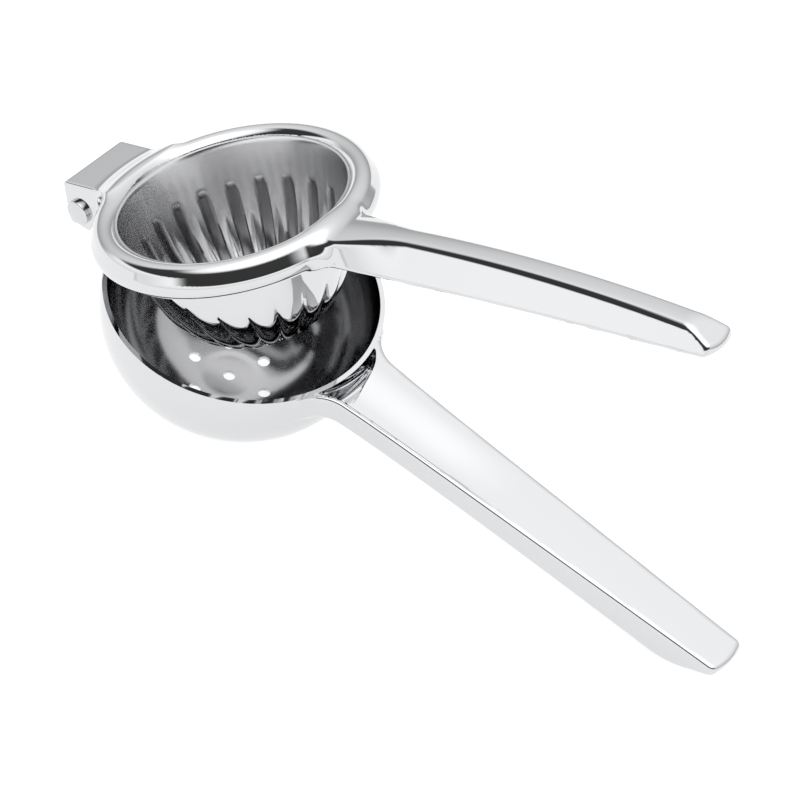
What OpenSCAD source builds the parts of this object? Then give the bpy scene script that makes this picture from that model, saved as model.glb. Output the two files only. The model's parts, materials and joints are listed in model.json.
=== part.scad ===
// Lever citrus press: a bowl with a handle, and a ring with a press cup and a handle that
// swings on a riveted hinge. The press stands as it does on a table: on the bowl's
// underside and on the end of the lower handle, with the jaws part open.

/* [Pose] */
// Angle between the jaws as the press stands, 0 is closed
open_angle = 27; // [0:1:60]
// Lean of the bowl as the press stands on its bowl and handle end
lean = 10.2; // [9:0.1:12]

/* [Bowl] */
// Outer radius of the bowl at its rim
rim_r = 36; // [34:0.5:36.5]
// How far the bowl's side swells beyond the rim
bulge = 0.4; // [0.3:0.1:0.6]
// Thickness of the drawn wall
wall = 1.1; // [1:0.1:1.6]
// Depth of the bowl, inside
bowl_depth = 34; // [32:0.2:36]
// Diameter of a drain hole
drain_d = 3.2; // [2:0.2:4]
// Radius of the circle of drain holes
drain_circle_r = 10.5; // [8:0.5:12]
// Number of drain holes around the middle one
drain_count = 6; // [4:1:8]
// Turn of the circle of drain holes
drain_phase = 11.5; // [0:0.5:60]

/* [Ring] */
// Outer radius of the ring
ring_r = 36.8; // [36.4:0.2:37]
// Radius of the rounds at the ring's top and outer edge
bead_r = 3.2; // [3.1:0.1:3.4]
// Height of the ring's top above the bowl's rim when closed
ring_top = 9.4; // [9:0.1:10.5]
// Gap between ring and rim when closed
rim_gap = 0.8; // [0.5:0.1:1.5]

/* [Press cup] */
// Outer radius of the cup's dome
cup_r = 27; // [26:0.2:27.4]
// Inner radius of the cup's mouth
mouth_r = 28.6; // [28.3:0.1:28.8]
// Depth of the dome's centre below the bowl's rim when closed
cup_centre_z = 4.7; // [4.4:0.1:5.4]
// Number of flutes
flute_count = 22; // [16:1:24]
// Width of a groove between flutes
groove_w = 1.2; // [0.8:0.1:1.4]
// Depth of a groove between flutes
groove_depth = 0.5; // [0.3:0.1:0.6]

/* [Hinge] */
// Distance from the bowl's axis to the hinge pin
hinge_x = 46.8; // [46:0.2:50]
// Width of the hinge block
block_w = 21.6; // [20:0.2:24]
// Width of the lug on the bowl
lug_w = 12; // [10:0.5:13]
// Radius of the lug's round end
lug_r = 5.2; // [5:0.1:5.4]
// Diameter of the pin
pin_d = 4.5; // [4:0.1:5]
// Diameter of the pin's heads
pin_head_d = 7; // [6:0.2:8]
// Thickness of the pin's heads
pin_head_t = 1.3; // [1:0.1:1.6]

/* [Handles] */
// Distance from the bowl's axis to the end of the lower handle
lower_reach = 154; // [148:0.5:158]
// Distance from the bowl's axis to the end of the upper handle
upper_reach = 146; // [140:0.5:152]
// Width of the handles beside the bowl
handle_w = 18; // [17:0.2:19]
// Width of the handles at their ends
handle_end_w = 12.8; // [11:0.2:14]
// Thickness of the lower handle
lower_t = 9.2; // [8:0.2:9.6]
// Height of the upper handle in its middle
upper_h = 8.8; // [8:0.2:10]

/* [Hidden] */
$fn = 96;
pin_clearance = 0.05;      // running clearance around the pin in the lug
cheek_clearance = 0.02;    // the pin is held in the cheeks
side_gap = 0.3;            // between the lug and each cheek
fork_clearance = 0.4;      // between the lug's round end and the block
slice_t = 0.1;             // thickness of the sections that the handles are drawn between
bowl_h = bowl_depth + wall;
knuckle_z = sqrt(2 * bulge * bowl_h) - bulge;   // centre of the side's round, below the rim
knuckle_r = bowl_h - knuckle_z;                 // its radius
foot_r = rim_r + bulge - knuckle_r;             // radius of the flat under the bowl
rim_angle = asin(knuckle_z / knuckle_r);
groove_top_z = cup_centre_z + 3;                // the grooves start here, below the rim
lip_w = 1.2;                                    // the cup's lip and its seat in the ring
lip_t = 0.8;
lip_z = 7.4;
seat_clearance = 0.05;
cone_top_r = mouth_r + wall - seat_clearance;
// The lowest point of the leaning bowl, and the middle of the box that holds the press
stand_z = knuckle_r + knuckle_z * cos(lean) + foot_r * sin(lean);
box_centre_x = 50.02;

// From the bowl's frame, whose origin is the middle of the rim, to the table's frame
module stand() {
    translate([-box_centre_x, 0, stand_z]) rotate([0, lean, 0]) children();
}

// Swings the upper jaw open about the pin
module swing() {
    translate([-hinge_x, 0, 0]) rotate([0, -open_angle, 0]) translate([hinge_x, 0, 0]) children();
}

function arc(cx, cy, r, from, to, steps) =
    [for (i = [0:steps]) let (a = from + (to - from) * i / steps) [cx + r * cos(a), cy + r * sin(a)]];

// A handle's cross-section: one flat side on y = 0 and a domed side, fuller as power grows
function dome_section(w, h, power) =
    [for (a = [0:12:180]) [w / 2 * sign(cos(a)) * pow(abs(cos(a)), 2 / power),
                           h * pow(sin(a), 2 / power)]];

module slice(x, z, w, h, power) {
    translate([x, 0, z]) rotate([90, 0, 90]) linear_extrude(height = slice_t, center = true)
        polygon(dome_section(w, h, power));
}

module bowl_shell() {
    rotate_extrude() polygon(concat(
        arc(foot_r, -knuckle_z, knuckle_r, rim_angle, -90, 28),
        [[0, -bowl_h], [0, -bowl_depth]],
        arc(foot_r, -knuckle_z, knuckle_r - wall, -90, 0, 24),
        [[rim_r - wall, 0]]));
}

module drain_holes() {
    translate([0, 0, -bowl_depth - 2 * wall]) {
        cylinder(d = drain_d, h = 4 * wall);
        for (i = [0:drain_count - 1]) rotate([0, 0, drain_phase + i * 360 / drain_count])
            translate([drain_circle_r, 0, 0]) cylinder(d = drain_d, h = 4 * wall);
    }
}

// The lower handle: flat top, full underside that swells and then rounds up to the end
module lower_handle() {
    waist_x = 85;
    heel_x = lower_reach - 16;
    round_x = lower_reach - 5;
    drop = 1.2;              // how far the flat top has come down at the heel
    stations = [[rim_r - 2, 0, handle_w, lower_t - 0.2],
                [waist_x, -0.5, handle_w - 1.2, lower_t],
                [heel_x, -drop, handle_end_w + 0.8, lower_t + 1.4],
                [round_x, -drop, handle_end_w, lower_t - 1.2],
                [lower_reach - slice_t, -drop, handle_end_w * 0.6, lower_t * 0.35]];
    for (i = [0:3]) hull() {
        slice_down(stations[i]);
        slice_down(stations[i + 1]);
    }
}

module slice_down(s) {
    mirror([0, 0, 1]) slice(s[0], -s[1], s[2], s[3], 5);
}

module lower_jaw() {
    color("lightgray") stand() difference() {
        union() {
            bowl_shell();
            difference() {
                union() {
                    lower_handle();
                    root_fillets();
                    lug_neck();
                }
                bowl_outside();
            }
            translate([-hinge_x, 0, 0]) rotate([90, 0, 0])
                cylinder(r = lug_r, h = lug_w, center = true);
        }
        drain_holes();
        translate([-hinge_x, 0, 0]) rotate([90, 0, 0])
            cylinder(r = pin_d / 2 + pin_clearance, h = 2 * lug_w, center = true);
    }
}

// Everything inside the middle of the bowl's wall
module bowl_outside() {
    rotate_extrude() polygon(concat(
        [[0, 1], [rim_r - wall / 2, 1]],
        arc(foot_r, -knuckle_z, knuckle_r - wall / 2, rim_angle / 2, -90, 24),
        [[0, -bowl_h + wall / 2]]));
}

// Webs that widen the handle where it meets the bowl
module root_fillets() {
    web_r = 9;
    web_t = 6;
    y0 = handle_w / 2 + web_r - 0.6;
    x0 = sqrt(pow(rim_r + web_r, 2) - y0 * y0);
    touch = rim_r / (rim_r + web_r);
    for (side = [0, 1]) mirror([0, side, 0]) translate([0, 0, -web_t]) linear_extrude(height = web_t)
        difference() {
            polygon([[0, 0], [touch * x0, touch * y0], [x0, y0 - web_r], [x0, 0]]);
            translate([x0, y0]) circle(r = web_r);
        }
}

module lug_neck() {
    translate([-hinge_x, -lug_w / 2, -lug_r]) cube([hinge_x - rim_r + 3, lug_w, lug_r]);
}

// The ring: a rounded top edge and a rounded outer edge, with a sloping face between them
module ring() {
    edge_x = ring_r - bead_r;
    edge_z = rim_gap + bead_r + 0.4;
    bead_x = edge_x - 1;
    bead_z = ring_top - bead_r;
    seat_r = mouth_r + lip_w;
    slope = atan2(edge_x - bead_x, bead_z - edge_z);
    rotate_extrude() polygon(concat(
        [[cup_outer_r(rim_gap) + 2 * seat_clearance, rim_gap]],
        arc(edge_x, edge_z, bead_r, -80, slope, 12),
        arc(bead_x, bead_z, bead_r, slope, 180 - acos((bead_x - seat_r) / bead_r), 14),
        [[seat_r, lip_z - lip_t],
         [cup_outer_r(lip_z - lip_t) + 2 * seat_clearance, lip_z - lip_t]]));
}

// Outer radius of the cup's tapered mouth at height z
function cup_outer_r(z) = cup_r + (cone_top_r - cup_r) * (z + cup_centre_z) / (lip_z + cup_centre_z);

// The block behind the ring: two cheeks under a top plate, with the fork open below
module hinge_block() {
    corner_r = 3;
    block_h = 8.2;
    heel_r = 6;
    fork_depth = 20;
    bite = 1.5;              // how far the block reaches into the ring
    bowl_gap = 1.6;          // from the bowl's rim to the cheeks
    inner_x = hinge_x - ring_r + bite;
    front_x = hinge_x - rim_r - bowl_gap;
    translate([-hinge_x, 0, 0]) rotate([90, 0, 0]) difference() {
        linear_extrude(height = block_w, center = true) polygon(concat(
            arc(1.4, 0.2, heel_r, -50, -195, 16),
            arc(-0.3, block_h - corner_r, corner_r, 190, 90, 8),
            [[inner_x, block_h], [inner_x, rim_gap], [front_x, rim_gap], [front_x - 1, -1]]));
        translate([-fork_depth, -fork_depth, -lug_w / 2 - side_gap])
            cube([fork_depth + hinge_x - ring_r - 0.5, fork_depth + lug_r + fork_clearance,
                  lug_w + 2 * side_gap]);
    }
}

// The upper handle: flat underside, high domed back, slightly arched
module upper_handle() {
    base_z = 2;
    neck_x = 58;
    middle_x = 94;
    tip_x = upper_reach - 8;
    tip_h = 4;
    stations = [[rim_r - 1, base_z, handle_w + 0.4, 6.6],
                [neck_x, base_z + 0.7, handle_w - 0.2, upper_h],
                [middle_x, base_z + 1.1, handle_w - 2.4, upper_h],
                [tip_x, base_z + 0.1, handle_end_w + 0.2, upper_h - 1.8],
                [upper_reach - slice_t, base_z, handle_end_w * 0.8, tip_h]];
    for (i = [0:3]) hull() {
        slice_up(stations[i]);
        slice_up(stations[i + 1]);
    }
}

module slice_up(s) {
    slice(s[0], s[1], s[2], s[3], 1.6);
}

module upper_jaw() {
    color("silver") stand() swing() difference() {
        union() {
            ring();
            upper_handle();
            hinge_block();
        }
        translate([-hinge_x, 0, 0]) rotate([90, 0, 0])
            cylinder(r = pin_d / 2 + cheek_clearance, h = 2 * block_w, center = true);
    }
}

module press_cup() {
    lip_r = mouth_r + lip_w - seat_clearance;
    seat_r = cup_outer_r(lip_z - lip_t);
    color("gray") stand() swing() difference() {
        rotate_extrude() polygon(concat(
            [[mouth_r, lip_z], [lip_r, lip_z], [lip_r, lip_z - lip_t], [seat_r, lip_z - lip_t]],
            arc(0, -cup_centre_z, cup_r, 0, -90, 24),
            arc(0, -cup_centre_z, cup_r - wall, -90, 0, 24)));
        for (i = [0:flute_count - 1]) rotate([0, 0, i * 360 / flute_count]) groove();
    }
}

// A groove down the outside of the dome, cut by a flat disc's inner edge
module groove() {
    reach = cup_r + 2;
    plain_foot = 4;          // no groove nearer the middle than this
    difference() {
        translate([0, groove_w / 2, -cup_centre_z]) rotate([90, 0, 0]) difference() {
            cylinder(r = reach, h = groove_w);
            translate([0, 0, -1]) cylinder(r = cup_r - groove_depth, h = groove_w + 2);
        }
        translate([-reach, -reach, -groove_top_z]) cube([2 * reach, 2 * reach, 2 * reach]);
        translate([plain_foot - 2 * reach, -reach, -2 * reach]) cube([2 * reach, 2 * reach, 2 * reach]);
    }
}

module hinge_pin() {
    color("dimgray") stand() swing() translate([-hinge_x, 0, 0]) rotate([90, 0, 0]) {
        cylinder(d = pin_d, h = block_w, center = true);
        for (side = [-1, 1]) translate([0, 0, side * (block_w + pin_head_t) / 2])
            cylinder(d = pin_head_d, h = pin_head_t, center = true);
    }
}

lower_jaw();
upper_jaw();
press_cup();
hinge_pin();
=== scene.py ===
import json
import math
import bmesh
import bpy
import numpy as np
from mathutils import Matrix, Vector


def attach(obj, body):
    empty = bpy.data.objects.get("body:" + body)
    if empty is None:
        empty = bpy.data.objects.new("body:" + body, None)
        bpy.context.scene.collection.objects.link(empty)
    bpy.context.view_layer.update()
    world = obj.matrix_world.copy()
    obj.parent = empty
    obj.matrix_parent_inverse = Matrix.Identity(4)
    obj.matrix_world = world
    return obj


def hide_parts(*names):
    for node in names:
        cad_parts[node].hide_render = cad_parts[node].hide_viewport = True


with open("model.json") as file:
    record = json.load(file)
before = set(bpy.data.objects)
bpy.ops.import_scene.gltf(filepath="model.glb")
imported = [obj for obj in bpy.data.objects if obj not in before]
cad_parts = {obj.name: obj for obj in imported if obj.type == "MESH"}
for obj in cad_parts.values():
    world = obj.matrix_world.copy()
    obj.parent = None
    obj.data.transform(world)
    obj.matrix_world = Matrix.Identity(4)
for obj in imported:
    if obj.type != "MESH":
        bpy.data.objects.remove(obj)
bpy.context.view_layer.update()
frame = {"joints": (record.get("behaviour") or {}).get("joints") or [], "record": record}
print("frame loaded")

# The press is drawn in the bowl's frame: origin in the middle of the rim, x towards the handle,
# z up from the rim, in millimetres, with the jaws closed. The record says how it stands.
record = frame["record"]
hinge = frame["joints"][0]
footAxis = record["mounts"][0]["axis"]
lean = math.atan2(-footAxis[0], -footAxis[2])
openAngle = math.radians(-hinge["range_deg"][0])
press = {"hingeX": 46.8, "rimR": 36.0, "bulge": 0.4, "bowlH": 35.1, "wall": 1.2, "ringR": 36.8,
         "ringTop": 9.4, "rimGap": 0.8}
turnBowl = Matrix.Rotation(lean, 3, "Y")
pinPlace = Vector(hinge["pos_m"])
rimCentre = pinPlace + turnBowl @ Vector((press["hingeX"] / 1000, 0, 0))


def lowerPlace(points):
    return points @ np.array(turnBowl).T / 1000 + np.array(rimCentre)


def upperPlace(points):
    turn = np.array(Matrix.Rotation(lean - openAngle, 3, "Y"))
    fromPin = points + np.array([press["hingeX"], 0, 0])
    return fromPin @ turn.T / 1000 + np.array(pinPlace)


def turnNormals(normals, swung):
    turn = np.array(Matrix.Rotation(lean - (openAngle if swung else 0), 3, "Y"))
    return normals @ turn.T


# Every shape is a distance function, negative inside. A blend rounds where two of them meet.
farAway = 1000.0


def smoothMax(a, b, k):
    h = np.clip(0.5 + 0.5 * (a - b) / k, 0, 1)
    return b + (a - b) * h + k * h * (1 - h)


def smoothMin(a, b, k):
    return -smoothMax(-a, -b, k)


def boxDistance(u, v, halfU, halfV, radius):
    qu = np.abs(u) - halfU + radius
    qv = np.abs(v) - halfV + radius
    return np.minimum(np.maximum(qu, qv), 0) + np.hypot(np.maximum(qu, 0), np.maximum(qv, 0)) - radius


def smoothStep(low, high, t):
    s = np.clip((t - low) / (high - low), 0, 1)
    return s * s * (3 - 2 * s)


bowl = {"drain": 3.2, "drainCircle": 10.5, "drainPhase": 11.5, "drainCount": 6, "drainBelow": -20.0}
bowl["kneeZ"] = math.sqrt(2 * press["bulge"] * press["bowlH"]) - press["bulge"]
bowl["kneeR"] = press["bowlH"] - bowl["kneeZ"]
bowl["footR"] = press["rimR"] + press["bulge"] - bowl["kneeR"]


def bowlOutside(r, z):
    return np.hypot(np.maximum(r - bowl["footR"], 0), z + bowl["kneeZ"]) - bowl["kneeR"]


def drainDistance(x, y):
    holes = [(0.0, 0.0)]
    for i in range(bowl["drainCount"]):
        a = math.radians(bowl["drainPhase"] + i * 360 / bowl["drainCount"])
        holes.append((bowl["drainCircle"] * math.cos(a), bowl["drainCircle"] * math.sin(a)))
    d = np.full(np.shape(x), farAway)
    for hx, hy in holes:
        d = np.minimum(d, np.hypot(x - hx, y - hy) - bowl["drain"] / 2)
    return d


# the lower handle, from its root at the bowl to its tip
lowerHandle = {"reach": 154.3, "endR": 16.0, "endRound": 1.5, "backX": 30.0, "half": 8.95, "halfAt": 64.0,
               "taper": 0.0325, "flare": 0.55, "flareFrom": 40.0, "flareLength": 10.0, "webR": 9.0,
               "webSpare": 0.6, "webShare": 0.93, "rootX": 36.0, "topFall": 0.0085, "depth": 9.1,
               "sag": 0.00026, "tipX": 136.0, "tipRise": 0.0295, "nearEdge": 0.9, "farEdge": 1.4,
               "belly": 3.6, "spareR": 0.05}
lip = {"width": 1.15, "fade": (66.0, 92.0), "across": (-6.0, 6.0), "drop": 0.4, "slope": 0.55}
trough = {"x": 40.3, "turn": 0.3, "bend": 0.03, "bendFrom": 3.0, "inset": 1.955, "depth": 7.5,
          "cornerBlend": 2.6, "floorBlend": 1.6}


def lowerHandleDistance(x, y, z):
    h = lowerHandle
    half = h["half"] - h["taper"] * (x - h["halfAt"])
    half = half + h["flare"] * np.exp(-(x - h["flareFrom"]) / h["flareLength"])
    rootHalf = h["half"] + h["webSpare"]
    webX = math.sqrt((press["rimR"] + h["webR"]) ** 2 - (rootHalf + h["webR"]) ** 2)
    back = np.clip(webX - x, 0, h["webR"] * h["webShare"])
    half = half + h["webR"] - np.sqrt(h["webR"] ** 2 - back ** 2)
    top = -h["topFall"] * np.maximum(x - h["rootX"], 0)
    bottom = -h["depth"] - h["sag"] * (x - h["rootX"]) ** 2 + h["tipRise"] * np.maximum(x - h["tipX"], 0) ** 2
    middle = (top + bottom) / 2
    radius = np.where(z > middle, np.where(y < 0, h["nearEdge"], h["farEdge"]), h["belly"])
    radius = np.minimum(radius, np.maximum((top - bottom) / 2 - h["spareR"], 0))
    d = boxDistance(y, z - middle, half, (top - bottom) / 2, radius)
    end = np.hypot(x - h["reach"] + h["endR"], y) - h["endR"]
    end = np.where(x > h["reach"] - h["endR"], end, x - h["reach"])
    d = smoothMax(d, end, h["endRound"])
    d = np.maximum(d, h["backX"] - x)
    # beside the bowl a lip stands along the near edge, and the top rises gently to the far edge
    inward = half + y - lip["width"]
    dish = lip["drop"] * (1 - smoothStep(*lip["fade"], x)) * (1 - smoothStep(*lip["across"], y))
    d = np.maximum(d, z - top + dish * np.clip(inward / lip["slope"], 0, 1))
    # the trough between the bowl's wall and the top
    edge = trough["x"] - trough["turn"] * y - trough["bend"] * np.maximum(y - trough["bendFrom"], 0) ** 2
    hollow = smoothMax(x - edge, np.abs(y) - half + trough["inset"], trough["cornerBlend"])
    hollow = smoothMax(hollow, -(z + trough["depth"]), trough["floorBlend"])
    return np.maximum(d, -hollow)


lug = {"half": 6.0, "radius": 5.2, "frontX": -34.0, "round": 0.6}
bowl["blend"] = 1.2


def lowerJawDistance(p):
    x, y, z = p[..., 0], p[..., 1], p[..., 2]
    r = np.hypot(x, y)
    outside = bowlOutside(r, z)
    body = np.maximum(outside, z)
    handle = lowerHandleDistance(x, y, z)
    body = np.maximum(smoothMin(body, handle, bowl["blend"]), z)
    pinX = x + press["hingeX"]
    eye = np.where((z > 0) | (pinX < 0), np.hypot(pinX, z), np.abs(z)) - lug["radius"]
    eye = smoothMax(eye, np.abs(y) - lug["half"], lug["round"])
    eye = smoothMax(eye, x - lug["frontX"], lug["round"])
    body = smoothMin(body, eye, bowl["blend"])
    inside = outside + press["wall"]
    body = np.maximum(body, -inside)
    drain = np.where(z < bowl["drainBelow"], drainDistance(x, y), farAway)
    return np.maximum(body, -drain)


ring = {"beadR": 3.2, "edgeZ": 4.4, "beadIn": 1.0, "mouthR": 29.8, "seatZ": 7.3, "coneBottom": 28.3,
        "seatR": 31.2, "seatHalf": 3.2, "handleBlend": 4.0, "blockBlend": 5.0}
upperHandle = {"rootHalf": 9.05, "taperFrom": 45.0, "taper": 0.00032, "reach": 145.8, "endR": 10.0,
               "topHalf": 2.7, "rootTop": 4.2, "rootSpan": (32.0, 60.0), "crest": 11.15, "crestX": 82.0,
               "arch": 0.00112, "crown": 0.03, "underZ": 1.7, "underRise": 1.6, "underFrom": 35.0,
               "underLength": 110.0, "leastRise": 1.0, "ridge": 0.9, "tipX": 138.5, "tipZ": 7.8,
               "tipFacing": (0.506, 0.862), "tipRound": 0.8, "backX": 33.0, "backRound": 0.5}
block = {"half": 10.8, "top": 8.2, "heelR": 6.0, "heelX": 1.4, "heelZ": 0.2, "heelTop": 3.0, "heelRound": 0.5,
         "backX": -4.45, "backZ": 1.5, "backFacing": (0.985, 0.17), "backRound": 2.0, "underZ": -4.6,
         "frontX": 8.2, "frontRound": 1.5, "plateX": 14.0, "plateBack": 4.5, "plateFront": 0.5,
         "plateUnder": 0.4, "cheekRound": 1.0, "sideRound": 0.7}
fork = {"sideGap": 0.3, "topGap": 0.4, "frontX": 9.5, "round": 0.6, "edge": 0.3}
cheekX, cheekSlope = -39.0, 6.0


def ringDistance(r, z):
    # a round top and a round outer edge with a sloping face between them
    low, seat, radius = press["rimGap"], ring["seatZ"], ring["beadR"]
    edgeX, edgeZ = press["ringR"] - radius, ring["edgeZ"]
    beadX, beadZ = edgeX - ring["beadIn"], press["ringTop"] - radius
    alongX, alongZ = edgeX - beadX, edgeZ - beadZ
    t = np.clip(((r - beadX) * alongX + (z - beadZ) * alongZ) / (alongX ** 2 + alongZ ** 2), 0, 1)
    face = np.hypot(r - beadX - t * alongX, z - beadZ - t * alongZ) - radius
    inner = boxDistance(r - ring["seatR"], z - (low + seat) / 2, ring["seatHalf"], (seat - low) / 2, 0)
    return np.minimum(face, inner)


def upperHandleDistance(x, y, z):
    h = upperHandle
    along = np.clip((x - h["underFrom"]) / h["underLength"], 0, 1)
    bottom = h["underZ"] + h["underRise"] * np.sin(np.pi * along)
    top = h["crest"] - h["arch"] * (x - h["crestX"]) ** 2
    half = h["rootHalf"] - h["taper"] * np.maximum(x - h["taperFrom"], 0) ** 2
    rise = np.maximum(top - bottom, h["leastRise"])
    run = half - h["topHalf"] - h["rootTop"] * (1 - smoothStep(*h["rootSpan"], x))
    length = np.hypot(rise, run)
    side = ((np.abs(y) - half) * rise + (z - bottom) * run) / length
    crown = z - top + h["crown"] * y ** 2
    d = smoothMax(side, crown, h["ridge"])
    d = smoothMax(d, bottom - z, h["ridge"])
    end = np.hypot(x - h["reach"] + h["endR"], y) - h["endR"]
    end = np.where(x > h["reach"] - h["endR"], end, x - h["reach"])
    slopeEnd = (x - h["tipX"]) * h["tipFacing"][0] + (z - h["tipZ"]) * h["tipFacing"][1]
    d = smoothMax(d, smoothMax(end, slopeEnd, h["tipRound"]), h["tipRound"])
    return smoothMax(d, h["backX"] - x, h["backRound"])


def blockDistance(x, y, z):
    b = block
    pinX = x + press["hingeX"]
    heel = np.hypot(pinX - b["heelX"], z - b["heelZ"]) - b["heelR"]
    top = z - b["top"]
    back = -(pinX - b["backX"]) * b["backFacing"][0] + (z - b["backZ"]) * b["backFacing"][1]
    low = smoothMax(b["underZ"] - z, pinX - b["frontX"], b["frontRound"])
    low = smoothMax(low, back, b["backRound"])
    plate = smoothMax(smoothMax(top, back, b["plateBack"]), pinX - b["plateX"], b["plateFront"])
    wide = smoothMax(plate, press["rimGap"] - z, b["plateUnder"])
    cheek = smoothMax(low, top, b["cheekRound"])
    body = np.minimum(wide, np.minimum(cheek, smoothMax(heel, z - b["heelTop"], b["heelRound"])))
    body = smoothMax(body, np.abs(y) - b["half"], b["sideRound"])
    slotTop = lug["radius"] + fork["topGap"]
    slot = smoothMax(np.abs(y) - lug["half"] - fork["sideGap"], z - slotTop, fork["round"])
    slot = smoothMax(slot, pinX - fork["frontX"], fork["round"])
    return smoothMax(body, -slot, fork["edge"])


def upperJawDistance(p):
    x, y, z = p[..., 0], p[..., 1], p[..., 2]
    r = np.hypot(x, y)
    body = ringDistance(r, z)
    body = smoothMin(body, upperHandleDistance(x, y, z), ring["handleBlend"])
    body = smoothMin(body, blockDistance(x, y, z), ring["blockBlend"])
    # nothing but the cheeks comes below the gap over the rim
    body = np.maximum(body, press["rimGap"] - z - cheekSlope * np.maximum(cheekX - x, 0))
    slope = (ring["mouthR"] - ring["coneBottom"]) / (ring["seatZ"] - press["rimGap"])
    mouth = ring["coneBottom"] + slope * (z - press["rimGap"]) - r
    return np.maximum(body, mouth)


def gradient(shape, p, step=0.01):
    g = np.empty_like(p)
    for axis in range(3):
        shift = np.zeros(3)
        shift[axis] = step
        g[:, axis] = (shape(p + shift) - shape(p - shift)) / (2 * step)
    return g


def unit(v):
    return v / np.maximum(np.linalg.norm(v, axis=1, keepdims=True), 1e-12)


# The probes are short because close to a crease the gradient turns within this distance.
casting = {"halvings": 9, "hold": 0.05, "slack": 0.1, "probe": 0.06, "smoothWithin": 18}


# Every grid edge that crosses the surface gives one face and one exact point with its normal.
# Each grid cell gets one corner, put where the planes of its crossings meet, so edges stay crisp.
def castShape(name, shape, low, high, voxel, place, swung):
    low = np.array(low, float)
    counts = [int((b - a) / voxel) + 2 for a, b in zip(low, high)]
    axes = [a + voxel * np.arange(n) for a, n in zip(low, counts)]
    field = np.empty(counts)
    yy, zz = np.meshgrid(axes[1], axes[2], indexing="ij")
    for i, xv in enumerate(axes[0]):
        field[i] = shape(np.stack([np.full_like(yy, xv), yy, zz], -1))
    hits, faces = [], []
    for axis in range(3):
        u, v = (axis + 1) % 3, (axis + 2) % 3
        start = np.moveaxis(field, axis, 0)[:-1]
        stop = np.moveaxis(field, axis, 0)[1:]
        crossing = np.moveaxis((start < 0) != (stop < 0), 0, axis)
        where = np.argwhere(crossing)
        along = np.eye(3, dtype=int)[axis]
        inside = field[tuple(where.T)] < 0
        near, far = np.zeros(len(where)), np.ones(len(where))
        for _ in range(casting["halvings"]):
            middle = (near + far) / 2
            same = (shape(low + voxel * (where + middle[:, None] * along)) < 0) == inside
            near, far = np.where(same, middle, near), np.where(same, far, middle)
        hits.append(low + voxel * (where + ((near + far) / 2)[:, None] * along))
        eu, ev = np.eye(3, dtype=int)[u], np.eye(3, dtype=int)[v]
        around = np.stack([where - eu - ev, where - ev, where, where - eu], 1)
        around[~inside] = around[~inside][:, ::-1]
        faces.append(around)
    hits, faces = np.concatenate(hits), np.concatenate(faces)
    normal = unit(gradient(shape, hits))
    cells, corners = np.unique(np.ravel_multi_index(faces.reshape(-1, 3).T, counts), return_inverse=True)
    corners = corners.reshape(-1, 4)
    total = len(cells)
    centre, number = np.zeros((total, 3)), np.zeros(total)
    a, b = np.zeros((total, 3, 3)), np.zeros((total, 3))
    for k in range(4):
        np.add.at(centre, corners[:, k], hits)
        np.add.at(number, corners[:, k], 1)
        np.add.at(a, corners[:, k], normal[:, :, None] * normal[:, None, :])
    centre /= number[:, None]
    for k in range(4):
        offset = ((hits - centre[corners[:, k]]) * normal).sum(1)[:, None]
        np.add.at(b, corners[:, k], normal * offset)
    p = centre + np.linalg.solve(a + casting["hold"] * np.eye(3), b[:, :, None])[:, :, 0]
    cellLow = low + voxel * np.stack(np.unravel_index(cells, counts), 1)
    slack = casting["slack"] * voxel
    p = np.clip(p, cellLow - slack, cellLow + voxel + slack)
    own = unit(gradient(shape, p))
    agree = np.ones(total)
    for axis in range(3):
        for probe in (-casting["probe"], casting["probe"]):
            nearby = p + probe * np.eye(3)[axis]
            agree = np.minimum(agree, (own * unit(gradient(shape, nearby))).sum(1))
    smooth = agree > math.cos(math.radians(casting["smoothWithin"]))
    loops = np.where(smooth[corners][..., None], own[corners], normal[:, None, :])
    mesh = bpy.data.meshes.new(name)
    mesh.from_pydata(place(p).tolist(), [], corners.tolist())
    mesh.polygons.foreach_set("use_smooth", [True] * len(corners))
    mesh.normals_split_custom_set(turnNormals(loops.reshape(-1, 3), swung).tolist())
    piece = bpy.data.objects.new(name, mesh)
    bpy.context.scene.collection.objects.link(piece)
    print(name, "has", len(corners), "faces")
    return piece, hits


def latheShape(name, profile, columns, place, axis="z"):
    turns = np.arange(columns) * 2 * math.pi / columns
    points, rows = [], []
    for radius, height in profile:
        if radius < 1e-6:
            rows.append([len(points)] * columns)
            points.append((0, 0, height))
        else:
            rows.append(list(range(len(points), len(points) + columns)))
            points += [(radius * math.cos(t), radius * math.sin(t), height) for t in turns]
    quads = []
    for upper, lower in zip(rows, rows[1:]):
        for i in range(columns):
            j = (i + 1) % columns
            face = [upper[i], upper[j], lower[j], lower[i]]
            face = [q for n, q in enumerate(face) if q not in face[:n]]
            quads.append(face)
    p = np.array(points)
    if axis == "y":
        p = np.stack([p[:, 0], -p[:, 2], p[:, 1]], 1)
    mesh = bpy.data.meshes.new(name)
    mesh.from_pydata(place(p).tolist(), [], quads)
    mesh.polygons.foreach_set("use_smooth", [True] * len(quads))
    piece = bpy.data.objects.new(name, mesh)
    bpy.context.scene.collection.objects.link(piece)
    return piece


# A faint wave in the metal bends the reflections, and fine grain varies how sharp they are.
grain = {"waveScale": 60, "waveDetail": 2, "fineScale": 2500, "fineDetail": 3, "height": 0.00002}


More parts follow.
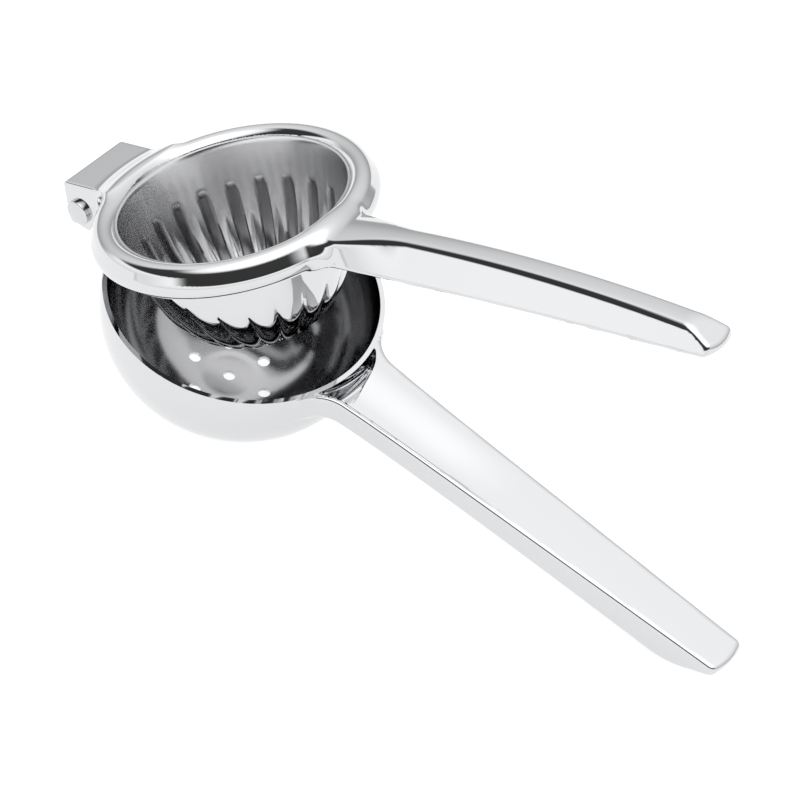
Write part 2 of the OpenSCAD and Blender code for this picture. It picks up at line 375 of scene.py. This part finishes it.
def polishedSteel(name, colour, roughness, haze, scratch):
    material = bpy.data.materials.new(name)
    material.use_nodes = True
    nodes, links = material.node_tree.nodes, material.node_tree.links
    shader = nodes["Principled BSDF"]
    shader.inputs["Base Color"].default_value = (*colour, 1)
    shader.inputs["Metallic"].default_value = 1
    where = nodes.new("ShaderNodeTexCoord")
    wave = nodes.new("ShaderNodeTexNoise")
    wave.inputs["Scale"].default_value = grain["waveScale"]
    wave.inputs["Detail"].default_value = grain["waveDetail"]
    links.new(where.outputs["Object"], wave.inputs["Vector"])
    fine = nodes.new("ShaderNodeTexNoise")
    fine.inputs["Scale"].default_value = grain["fineScale"]
    fine.inputs["Detail"].default_value = grain["fineDetail"]
    links.new(where.outputs["Object"], fine.inputs["Vector"])
    rough = nodes.new("ShaderNodeMapRange")
    rough.inputs["To Min"].default_value = roughness
    rough.inputs["To Max"].default_value = roughness + haze
    links.new(fine.outputs["Fac"], rough.inputs["Value"])
    links.new(rough.outputs["Result"], shader.inputs["Roughness"])
    bump = nodes.new("ShaderNodeBump")
    bump.inputs["Strength"].default_value = scratch
    bump.inputs["Distance"].default_value = grain["height"]
    links.new(wave.outputs["Fac"], bump.inputs["Height"])
    links.new(bump.outputs["Normal"], shader.inputs["Normal"])
    return material


mirrorSteel = polishedSteel("mirrorSteel", (0.66, 0.665, 0.675), 0.035, 0.03, 0.3)
bowlSteel = polishedSteel("bowlSteel", (0.42, 0.422, 0.43), 0.09, 0.06, 0.4)
# the second colour is painted shade for the channels inside the cup
cupColour, channelShadeColour = (0.75, 0.752, 0.76), (0.24, 0.24, 0.245)
cupSteel = polishedSteel("cupSteel", cupColour, 0.16, 0.08, 0.4)
# painted shade: the channels inside the cup get a darker colour in place of the dark reflections they show in
# the metal
paint = cupSteel.node_tree
channel = paint.nodes.new("ShaderNodeAttribute")
channel.attribute_name = "channel"
blend = paint.nodes.new("ShaderNodeMix")
blend.data_type = "RGBA"
blend.inputs["A"].default_value = (*cupColour, 1)
blend.inputs["B"].default_value = (*channelShadeColour, 1)
paint.links.new(channel.outputs["Fac"], blend.inputs["Factor"])
paint.links.new(blend.outputs["Result"], paint.nodes["Principled BSDF"].inputs["Base Color"])
pinSteel = polishedSteel("pinSteel", (0.62, 0.625, 0.635), 0.07, 0.05, 0.4)


# the jaws; the inside of the bowl is a second, duller steel
lowerGrid = {"low": (-54.1, -38.1, -37.1), "high": (156, 38, 2), "voxel": 0.58}
upperGrid = {"low": (-54.1, -38.1, -7.1), "high": (148, 38, 13), "voxel": 0.5}
underRim = -0.001

lowerJaw, hits = castShape("lowerJawCasting", lowerJawDistance, **lowerGrid, place=lowerPlace, swung=False)
lowerJaw.data.materials.append(mirrorSteel)
lowerJaw.data.materials.append(bowlSteel)
hitR = np.hypot(hits[:, 0], hits[:, 1])
inBowl = bowlOutside(hitR, hits[:, 2]) < -press["wall"] / 2
inBowl = inBowl & (hitR < press["rimR"]) & (hits[:, 2] < underRim)
lowerJaw.data.polygons.foreach_set("material_index", inBowl.astype(np.int32))
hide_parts("lower_jaw")
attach(lowerJaw, "lower_jaw")

upperJaw, hits = castShape("upperJawCasting", upperJawDistance, **upperGrid, place=upperPlace, swung=True)
upperJaw.data.materials.append(mirrorSteel)
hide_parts("upper_jaw")
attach(upperJaw, "upper_jaw")


# a value in a node tree; the usual signs add a maths node each
class Wire:
    def __init__(self, tree, socket):
        self.tree, self.socket = tree, socket

    def maths(self, operation, *others):
        node = self.tree.nodes.new("ShaderNodeMath")
        node.operation = operation
        for slot, value in zip(node.inputs, (self, *others)):
            if isinstance(value, Wire):
                self.tree.links.new(value.socket, slot)
            else:
                slot.default_value = value
        return Wire(self.tree, node.outputs[0])

    def constant(self, value):
        node = self.tree.nodes.new("ShaderNodeValue")
        node.outputs[0].default_value = value
        return Wire(self.tree, node.outputs[0])

    def step(self, low, high):
        # 0 below low and 1 above high, smooth between
        node = self.tree.nodes.new("ShaderNodeMapRange")
        node.interpolation_type = "SMOOTHSTEP"
        for slot, value in zip(("Value", "From Min", "From Max"), (self, low, high)):
            if isinstance(value, Wire):
                self.tree.links.new(value.socket, node.inputs[slot])
            else:
                node.inputs[slot].default_value = value
        return Wire(self.tree, node.outputs["Result"])

    def __add__(self, other):
        return self.maths("ADD", other)

    def __sub__(self, other):
        return self.maths("SUBTRACT", other)

    def __mul__(self, other):
        return self.maths("MULTIPLY", other)

    def __truediv__(self, other):
        return self.maths("DIVIDE", other)

    def __rsub__(self, other):
        return self.constant(other).maths("SUBTRACT", self)


# the press cup is a turned shell, fluted by geometry nodes
cup = {"domeR": 27.0, "domeZ": -4.7, "wall": 1.1, "lean": 10.5, "leanInside": 12.0, "lipZ": 7.8,
       "lipOuter": 29.9, "lipUnder": 7.0, "lipBevel": 0.2, "mouthDrop": 0.25, "mouthEase": (0.1, 0.06),
       "mouthFlat": 0.3, "domeRows": 56, "coneRows": 16, "columnsPerFlute": 16, "sharpAngle": 34}
flutes = {"Flute count": 22, "Groove top": -6.0, "Groove full": -19.0, "Groove depth": 1.25,
          "Plain foot": 6.0, "Fluted from": 11.5, "Channel width": 3.4, "Channel top": -2.6,
          "Channel depth": 0.6, "Edge width": 0.5}
archFill, archGain, channelShare = 0.93, 1.36, 0.33


def cupProfile():
    c = cup

    def side(radius, top, lean):
        cone = []
        steps = c["domeRows"]
        tangentX, tangentZ = radius * math.cos(lean), c["domeZ"] - radius * math.sin(lean)
        topX = tangentX + (top - tangentZ) * math.tan(lean)
        for i in range(c["coneRows"]):
            t = i / c["coneRows"]
            cone.append((topX + (tangentX - topX) * t, top + (tangentZ - top) * t))
        for i in range(steps + 1):
            a = lean + (math.pi / 2 - lean) * i / steps
            cone.append((0.0 if i == steps else radius * math.cos(a), c["domeZ"] - radius * math.sin(a)))
        return cone

    outer = side(c["domeR"], c["lipUnder"], math.radians(c["lean"]))
    inner = side(c["domeR"] - c["wall"], c["lipZ"] - c["mouthDrop"], math.radians(c["leanInside"]))[::-1]
    mouth = inner[-1][0]
    bevel = c["lipBevel"]
    edge = [(mouth + c["mouthEase"][0], c["lipZ"] - c["mouthEase"][1]), (mouth + c["mouthFlat"], c["lipZ"]),
            (c["lipOuter"] - bevel, c["lipZ"]), (c["lipOuter"], c["lipZ"] - bevel),
            (c["lipOuter"], c["lipUnder"])]
    return edge + outer, inner + [edge[0]]


def fluteTree():
    tree = bpy.data.node_groups.new("fluting", "GeometryNodeTree")
    face = tree.interface
    face.new_socket("Geometry", in_out="INPUT", socket_type="NodeSocketGeometry")
    for key, value in flutes.items():
        face.new_socket(key, in_out="INPUT", socket_type="NodeSocketFloat").default_value = value
    face.new_socket("Outside steel", in_out="INPUT", socket_type="NodeSocketMaterial")
    face.new_socket("Inside steel", in_out="INPUT", socket_type="NodeSocketMaterial")
    face.new_socket("Geometry", in_out="OUTPUT", socket_type="NodeSocketGeometry")
    enter, leave = tree.nodes.new("NodeGroupInput"), tree.nodes.new("NodeGroupOutput")
    value = {key: Wire(tree, enter.outputs[key]) for key in flutes}
    place = tree.nodes.new("GeometryNodeInputPosition")
    parts = tree.nodes.new("ShaderNodeSeparateXYZ")
    tree.links.new(place.outputs[0], parts.inputs[0])
    x, y, z = (Wire(tree, parts.outputs[k]) for k in range(3))
    r = (x * x + y * y).maths("SQRT")
    turn = y.maths("ARCTAN2", x) / (2 * math.pi)
    # 0 in a groove, 1 on the next one, so that 0.5 is the middle of a flute
    phase = (turn * value["Flute count"]).maths("FLOORED_MODULO", 1.0)
    across = phase * 2.0 - 1.0
    arch = 1.0 - (1.0 - across * across * archFill).maths("SQRT")
    deepen = (value["Groove top"] - z).step(0.0, value["Groove top"] - value["Groove full"])
    foot = r.step(value["Plain foot"], value["Fluted from"])
    dent = arch * deepen * foot * value["Groove depth"] * archGain
    # the channels inside: round-topped strips in the middle of each flute
    pitch = r * (2 * math.pi) / value["Flute count"]
    halfWidth = (value["Channel width"] / 2.0).maths("MINIMUM", pitch * channelShare)
    side = across * pitch / 2.0
    above = (z - value["Channel top"] + halfWidth).maths("MAXIMUM", 0.0)
    distance = (side * side + above * above).maths("SQRT")
    inStrip = 1.0 - (distance - halfWidth).step(value["Edge width"] * -1.0, 0.0)
    inner = tree.nodes.new("GeometryNodeInputNamedAttribute")
    inner.data_type = "FLOAT"
    inner.inputs["Name"].default_value = "inner"
    isInner = Wire(tree, inner.outputs["Attribute"])
    channel = inStrip * foot * value["Channel depth"] * isInner
    # push along the dome's own radius
    push = (channel - dent) / (x * x + y * y + (z - cup["domeZ"]) * (z - cup["domeZ"])).maths("SQRT")
    offset = tree.nodes.new("ShaderNodeCombineXYZ")
    for slot, part in zip(offset.inputs, (x * push, y * push, (z - cup["domeZ"]) * push)):
        tree.links.new(part.socket, slot)
    move = tree.nodes.new("GeometryNodeSetPosition")
    tree.links.new(enter.outputs["Geometry"], move.inputs["Geometry"])
    tree.links.new(offset.outputs[0], move.inputs["Offset"])
    # the strip mask is stored as "channel" and sets where the cup's inner steel is painted darker as shade
    shade = tree.nodes.new("GeometryNodeStoreNamedAttribute")
    shade.data_type = "FLOAT"
    shade.domain = "POINT"
    shade.inputs["Name"].default_value = "channel"
    tree.links.new(move.outputs[0], shade.inputs["Geometry"])
    tree.links.new((inStrip * foot * isInner).socket, shade.inputs["Value"])
    real = tree.nodes.new("GeometryNodeRealizeInstances")
    tree.links.new(shade.outputs[0], real.inputs[0])
    outside = tree.nodes.new("GeometryNodeSetMaterial")
    tree.links.new(real.outputs[0], outside.inputs["Geometry"])
    tree.links.new(enter.outputs["Outside steel"], outside.inputs["Material"])
    inside = tree.nodes.new("GeometryNodeSetMaterial")
    tree.links.new(outside.outputs[0], inside.inputs["Geometry"])
    tree.links.new(enter.outputs["Inside steel"], inside.inputs["Material"])
    tree.links.new(isInner.maths("GREATER_THAN", 0.5).socket, inside.inputs["Selection"])
    tree.links.new(inside.outputs[0], leave.inputs[0])
    return tree


outerRows, innerRows = cupProfile()
profile = outerRows + innerRows[1:]
columns = flutes["Flute count"] * cup["columnsPerFlute"]
shell = latheShape("cupShell", profile, columns, lambda p: p)
# the last row lies on the first
merge = shell.modifiers.new("close", "WELD")
merge.merge_threshold = 0.0005
attribute = shell.data.attributes.new("inner", "FLOAT", "POINT")
count = len(shell.data.vertices)
innerCount = (len(innerRows) - 2) * columns
flags = np.zeros(count, np.float32)
flags[count - innerCount - 1:] = 1
attribute.data.foreach_set("value", flags)
fluting = shell.modifiers.new("fluting", "NODES")
fluting.node_group = fluteTree()
sockets = {item.name: item.identifier for item in fluting.node_group.interface.items_tree
           if item.in_out == "INPUT"}
for key, value in flutes.items():
    fluting[sockets[key]] = float(value)
fluting[sockets["Outside steel"]] = mirrorSteel
fluting[sockets["Inside steel"]] = cupSteel
bpy.context.view_layer.update()
ready = shell.evaluated_get(bpy.context.evaluated_depsgraph_get())
cupMesh = bpy.data.meshes.new_from_object(ready)
pressCup = bpy.data.objects.new("flutedCup", cupMesh)
bpy.context.scene.collection.objects.link(pressCup)
bpy.data.objects.remove(shell)
spots = np.array([v.co for v in cupMesh.vertices])
cupMesh.vertices.foreach_set("co", upperPlace(spots).ravel())
cupMesh.set_sharp_from_angle(angle=math.radians(cup["sharpAngle"]))
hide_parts("press_cup")
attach(pressCup, "upper_jaw")
print("cup has", len(cupMesh.polygons), "faces")


# the hinge pin, a rivet with a low crown on each head
pin = {"headR": 3.5, "headT": 1.3, "stemR": 2.2, "cheek": 10.8, "edge": 0.35, "edgeSteps": 4, "crown": 0.22,
       "crownShape": ((0.0, 1.0), (1.4, 0.8), (2.6, 0.3)), "rimDrop": 0.08, "clear": 0.02, "columns": 72,
       "sharpAngle": 40}


def pinProfile():
    q = pin
    face = q["cheek"] + q["headT"]
    centreR, centreH = q["headR"] - q["edge"], face - q["rimDrop"] - q["edge"]
    half = [(r, face + q["crown"] * share) for r, share in q["crownShape"]]
    for i in range(q["edgeSteps"] + 1):
        a = math.pi / 2 * (1 - i / q["edgeSteps"])
        half.append((centreR + q["edge"] * math.cos(a), centreH + q["edge"] * math.sin(a)))
    half += [(q["headR"], q["cheek"] + q["clear"]), (q["stemR"], q["cheek"] + q["clear"])]
    return half + [(r, -h) for r, h in half[::-1]]


def pinSpot(points):
    return upperPlace(points - np.array([press["hingeX"], 0, 0]))


rivet = latheShape("hingeRivet", pinProfile(), pin["columns"], pinSpot, "y")
rivet.data.set_sharp_from_angle(angle=math.radians(pin["sharpAngle"]))
rivet.data.materials.append(pinSteel)
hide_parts("hinge_pin")
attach(rivet, "upper_jaw")
for piece in (pressCup, rivet):
    edit = bmesh.new()
    edit.from_mesh(piece.data)
    bmesh.ops.recalc_face_normals(edit, faces=edit.faces)
    edit.to_mesh(piece.data)
    edit.free()

# the floor glows a little, so that it stays nearly white
floorHalf = 2.0
floorLook = {"Base Color": (0.32, 0.32, 0.32, 1), "Emission Color": (1, 1, 1, 1), "Emission Strength": 0.85,
             "Roughness": 0.9, "Specular IOR Level": 0.0}
floorMesh = bpy.data.meshes.new("floor")
floorCorners = [(a * floorHalf, b * floorHalf, 0) for a, b in ((-1, -1), (1, -1), (1, 1), (-1, 1))]
floorMesh.from_pydata(floorCorners, [], [(0, 1, 2, 3)])
floor = bpy.data.objects.new("floor", floorMesh)
bpy.context.scene.collection.objects.link(floor)
floorPaint = bpy.data.materials.new("floorPaint")
floorPaint.use_nodes = True
for socket, value in floorLook.items():
    floorPaint.node_tree.nodes["Principled BSDF"].inputs[socket].default_value = value
floorMesh.materials.append(floorPaint)

view = {"azimuth": 38.54, "elevation": 43.9, "distance": 0.7084, "right": 0.0393, "down": 0.0274,
        "lens": 126.0, "sensor": 36, "fitLean": 11.857}
az, el = math.radians(view["azimuth"]), math.radians(view["elevation"])
settle = Matrix.Rotation(lean - math.radians(view["fitLean"]), 3, "Y")
rightWay = settle @ Vector((math.cos(az), math.sin(az), 0))
backWay = settle @ Vector((math.sin(az) * math.cos(el), -math.cos(az) * math.cos(el), math.sin(el)))
upWay = backWay.cross(rightWay)
aim = rimCentre + rightWay * view["right"] - upWay * view["down"]
cameraData = bpy.data.cameras.new("camera")
cameraData.lens = view["lens"]
cameraData.sensor_width = view["sensor"]
camera = bpy.data.objects.new("camera", cameraData)
pose = Matrix((rightWay, upWay, backWay)).transposed().to_4x4()
pose.translation = aim + backWay * view["distance"]
camera.matrix_world = pose
bpy.context.scene.collection.objects.link(camera)
bpy.context.scene.camera = camera

# the light round the object: a glow for each height in degrees, and a dark band behind the camera
studio = {"heights": [(-90, 1.05), (-3, 1.05), (0, 0.45), (7, 0.55), (14, 0.75), (22, 0.9), (35, 1.0),
                      (50, 1.15), (62, 1.45), (76, 2.4), (90, 2.8)],
          "scale": 3.0, "darkTo": (44, 58), "darkFrom": (15, 22), "nearTo": (15, 22), "nearFrom": (-2, 1),
          "nearGlow": 0.55, "darkSide": (-0.1, 0.25), "dark": 0.95}
world = bpy.data.worlds.new("studio")
bpy.context.scene.world = world
world.use_nodes = True
nodes, links = world.node_tree.nodes, world.node_tree.links
where = nodes.new("ShaderNodeTexCoord")
split = nodes.new("ShaderNodeSeparateXYZ")
links.new(where.outputs["Generated"], split.inputs[0])
height = Wire(world.node_tree, split.outputs["Z"]).maths("ARCSINE") / math.pi + 0.5
ramp = nodes.new("ShaderNodeValToRGB")
ramp.color_ramp.interpolation = "B_SPLINE"
stops = ramp.color_ramp.elements
for i, (degrees, glow) in enumerate(studio["heights"]):
    spot = degrees / 180 + 0.5
    stop = stops[i] if i < 2 else stops.new(spot)
    stop.position = spot
    stop.color = (glow / studio["scale"],) * 3 + (1,)
links.new(height.socket, ramp.inputs["Fac"])
# the side the camera stands on is dark up to the overhead light
ways = [Wire(world.node_tree, split.outputs[k]) for k in range(3)]
facing = 0.0 - ways[1] / (ways[0] * ways[0] + ways[1] * ways[1]).maths("SQRT")
rise = {key: [math.sin(math.radians(d)) for d in studio[key]]
        for key in ("darkTo", "darkFrom", "nearTo", "nearFrom")}
near = facing.step(*studio["darkSide"])
dark = near * (1.0 - ways[2].step(*rise["darkTo"])) * ways[2].step(*rise["darkFrom"])
low = near * (1.0 - ways[2].step(*rise["nearTo"])) * ways[2].step(*rise["nearFrom"]) * studio["nearGlow"]
around = Wire(world.node_tree, ramp.outputs["Color"]) * studio["scale"]
glow = around * (1.0 - dark * studio["dark"]) + low
# the camera itself sees plain white
path = nodes.new("ShaderNodeLightPath")
seen = Wire(world.node_tree, path.outputs["Is Camera Ray"])
strength = seen + (1.0 - seen) * glow
links.new(strength.socket, nodes["Background"].inputs["Strength"])
nodes["Background"].inputs["Color"].default_value = (1, 1, 1, 1)
bpy.context.scene.view_settings.view_transform = "Standard"
print("stage set")
